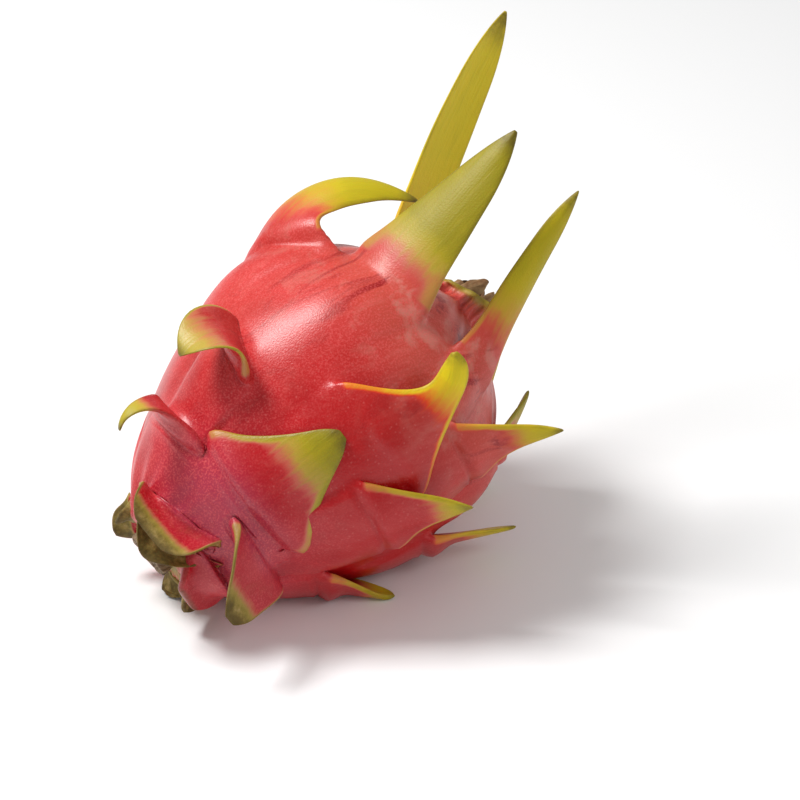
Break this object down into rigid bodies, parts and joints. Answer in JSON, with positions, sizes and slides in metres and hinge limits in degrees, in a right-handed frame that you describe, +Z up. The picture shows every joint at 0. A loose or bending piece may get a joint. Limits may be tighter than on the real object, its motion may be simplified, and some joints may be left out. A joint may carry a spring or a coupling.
{
  "type": "dragon fruit",
  "caption": "Whole dragon fruit lying on its side: egg-shaped pink-red body with leafy curling green-tipped scales, a dried flower end and a cut stem.",
  "frame": {"origin": "middle of the flat spot that the fruit lies on", "axes": "+Z up, away from the surface that it lies on; +X the way the flower end points, seen from above"},
  "size_m": [0.1606, 0.1244, 0.1302],
  "materials": {
    "fruit_skin": "smooth waxy pink-red skin, with yellow-green scale tips",
    "dry_petal": "dry papery brown",
    "dry_stem": "dry woolly grey-brown"
  },
  "bodies": {
    "root": {"fruit": "fruit_skin", "withered_flower": "dry_petal", "stem_stub": "dry_stem"}
  },
  "joints": []
}
